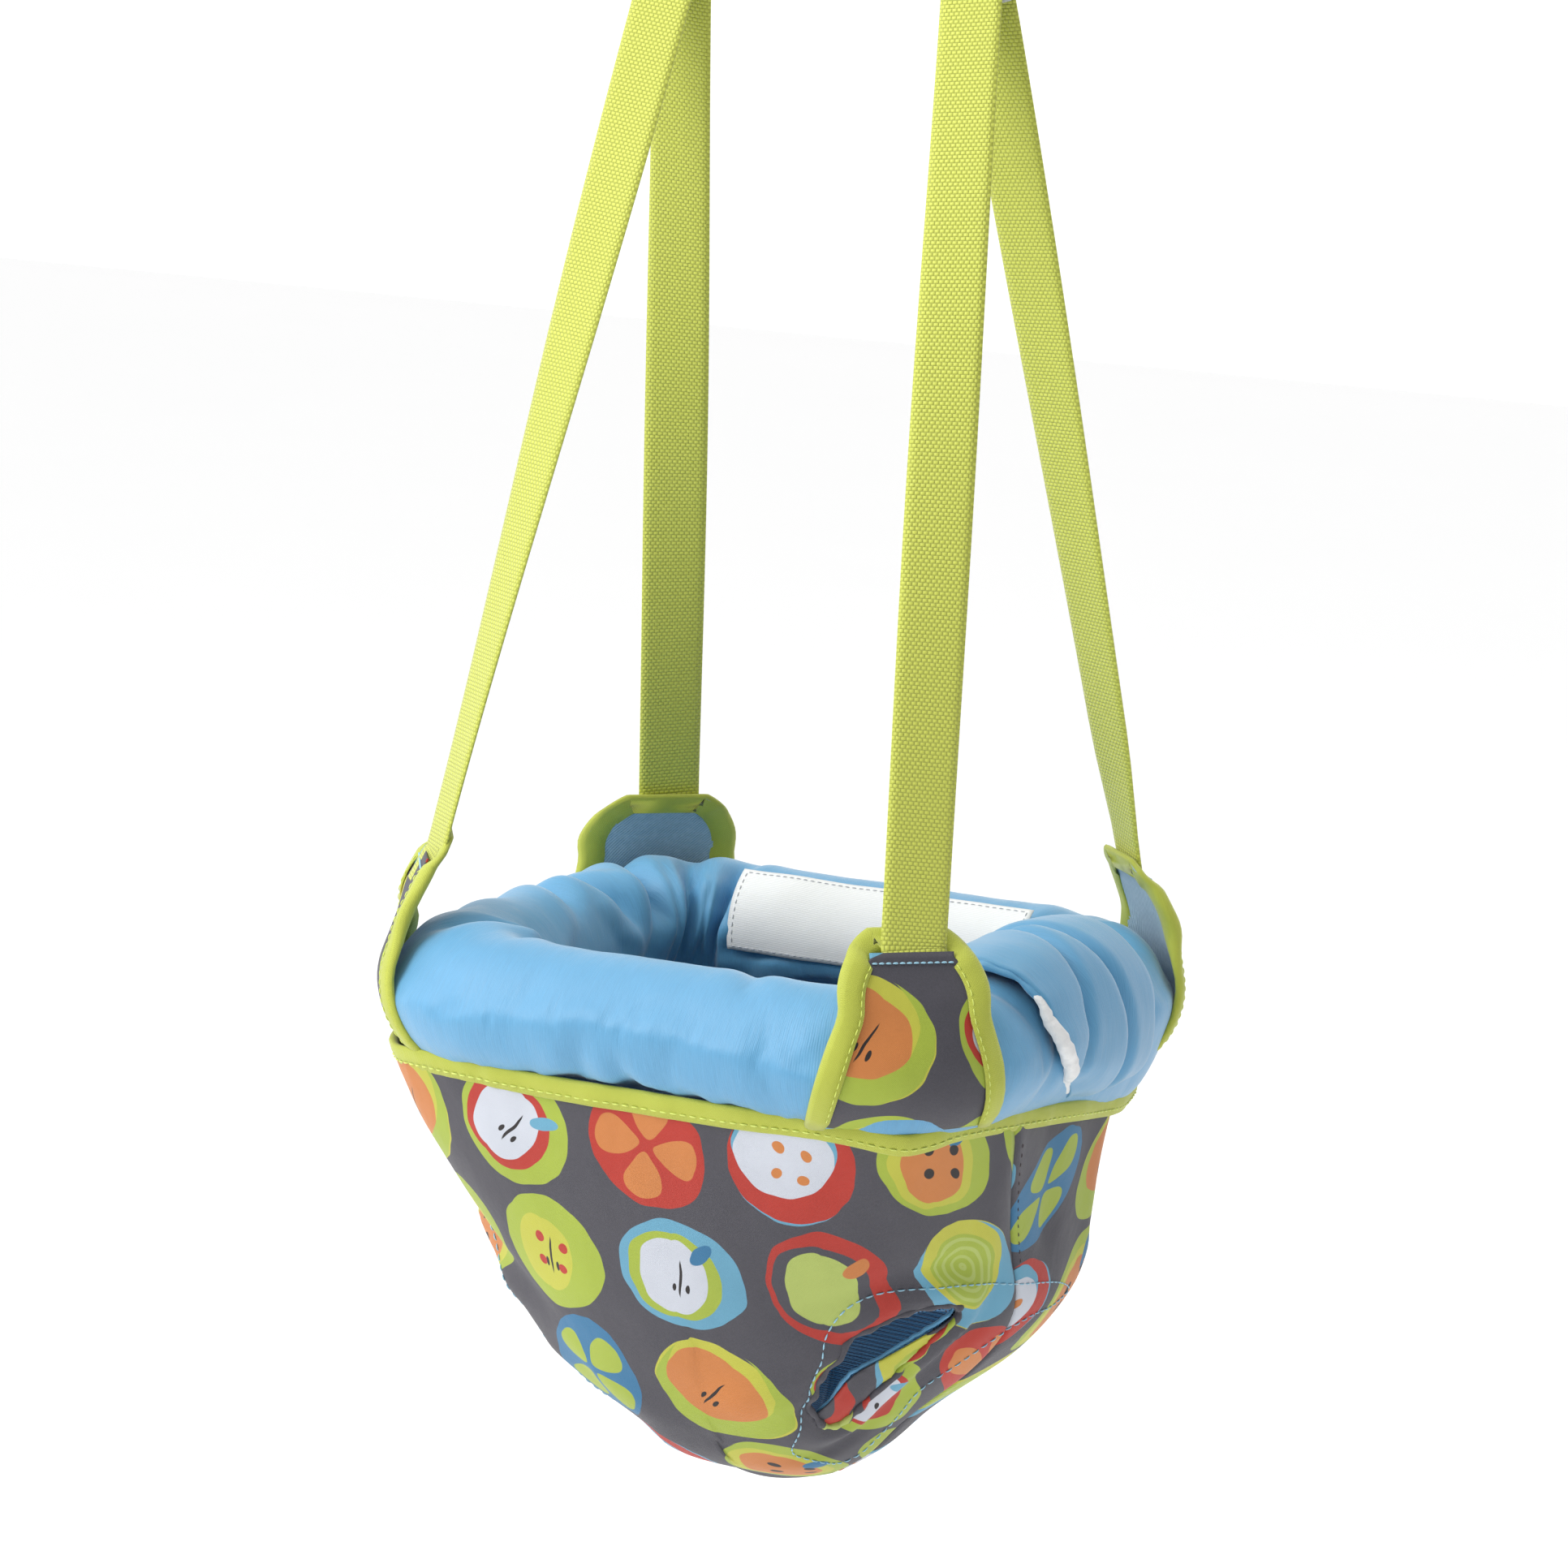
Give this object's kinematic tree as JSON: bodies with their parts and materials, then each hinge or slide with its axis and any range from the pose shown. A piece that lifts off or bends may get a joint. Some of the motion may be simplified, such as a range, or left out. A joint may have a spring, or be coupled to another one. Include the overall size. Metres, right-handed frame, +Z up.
{
  "type": "doorway baby jumper",
  "caption": "Padded fabric baby seat on webbing straps, hung by a spacer bar and a covered extension spring from a sprung door clamp.",
  "frame": {"origin": "midway between the door clamp's two pads, where the door header is gripped", "axes": "+Z up, the seat's front towards -Y, the spacer bar along X, the clamp's jaws opening along Y"},
  "size_m": [0.2832, 0.2584, 1.05],
  "materials": {
    "webbing": "woven polypropylene webbing, lime",
    "binding": "folded twill tape, lime",
    "satin": "polyester satin, sky blue",
    "printed_fabric": "printed polyester, coloured motifs on grey",
    "mesh_fabric": "knitted mesh, blue",
    "twill": "woven twill, grey blue",
    "foam": "foam padding",
    "label": "woven label, white",
    "cover_fabric": "woven polyester sleeve, sky blue",
    "plastic": "moulded plastic, light grey",
    "painted_steel": "powder-coated steel, pale grey",
    "steel": "zinc-plated steel",
    "rubber": "moulded rubber, dark grey",
    "vinyl": "dipped vinyl, blue"
  },
  "bodies": {
    "clamp_pivot": {"pivot_bolt": "steel", "pivot_nut": "steel", "torsion_spring_left": "steel", "torsion_spring_right": "steel"},
    "front_jaw": {"front_arm": "painted_steel", "front_pad": "rubber", "front_lever_grip": "vinyl"},
    "back_jaw": {"back_arm": "painted_steel", "back_pad": "rubber", "back_lever_grip": "vinyl"},
    "hanger": {"swing_link": "painted_steel", "side_pin": "steel"},
    "spring_unit": {"bounce_spring": "steel", "spring_cover": "cover_fabric", "safety_tether": "webbing"},
    "bounce_carrier": {"lower_ring": "steel", "height_strap_upper": "webbing", "adjuster_buckle": "plastic"},
    "seat": {"height_strap_lower": "webbing", "spacer_bar": "plastic", "strap_left": "webbing", "strap_right": "webbing", "tab_panel_front_left": "printed_fabric", "tab_panel_front_right": "printed_fabric", "tab_panel_back_left": "printed_fabric", "tab_panel_back_right": "printed_fabric", "tab_lining_front_left": "twill", "tab_lining_front_right": "twill", "tab_lining_back_left": "twill", "tab_lining_back_right": "twill", "tab_binding_front_left": "binding", "tab_binding_front_right": "binding", "tab_binding_back_left": "binding", "tab_binding_back_right": "binding", "ring_core": "foam", "ring_cover": "satin", "cover_flap": "satin", "care_label": "label", "outer_shell": "printed_fabric", "mesh_lining": "mesh_fabric", "leg_hem_left": "printed_fabric", "leg_hem_right": "printed_fabric", "rim_binding": "binding"}
  },
  "joints": [
    {"name": "front_arm_hinge", "type": "hinge", "parent": "clamp_pivot", "child": "front_jaw", "pos_m": [0, 0, -0.1], "axis": [1, 0, 0], "range_deg": [0, 18], "stiffness_Nm_per_rad": 1.2, "springref_deg": -14.32},
    {"name": "back_arm_hinge", "type": "hinge", "parent": "clamp_pivot", "child": "back_jaw", "pos_m": [0, 0, -0.1], "axis": [-1, 0, 0], "range_deg": [0, 18], "stiffness_Nm_per_rad": 1.2, "springref_deg": -14.32},
    {"name": "swing_front_back", "type": "hinge", "parent": "clamp_pivot", "child": "hanger", "pos_m": [0, 0, -0.1], "axis": [1, 0, 0], "range_deg": [-20, 20]},
    {"name": "swing_side", "type": "hinge", "parent": "hanger", "child": "spring_unit", "pos_m": [0, 0, -0.128], "axis": [0, 1, 0], "range_deg": [-20, 20]},
    {"name": "bounce", "type": "slide", "parent": "spring_unit", "child": "bounce_carrier", "axis": [0, 0, -1], "range_m": [0, 0.12], "stiffness_N_per_m": 700, "springref_m": -0.03, "deforming": ["bounce_spring", "safety_tether"]},
    {"name": "height_adjust", "type": "slide", "parent": "bounce_carrier", "child": "seat", "axis": [0, 0, -1], "range_m": [0, 0.075]}
  ],
  "couplings": [
    {"joint": "back_arm_hinge", "follows": "front_arm_hinge", "ratio": 1}
  ]
}
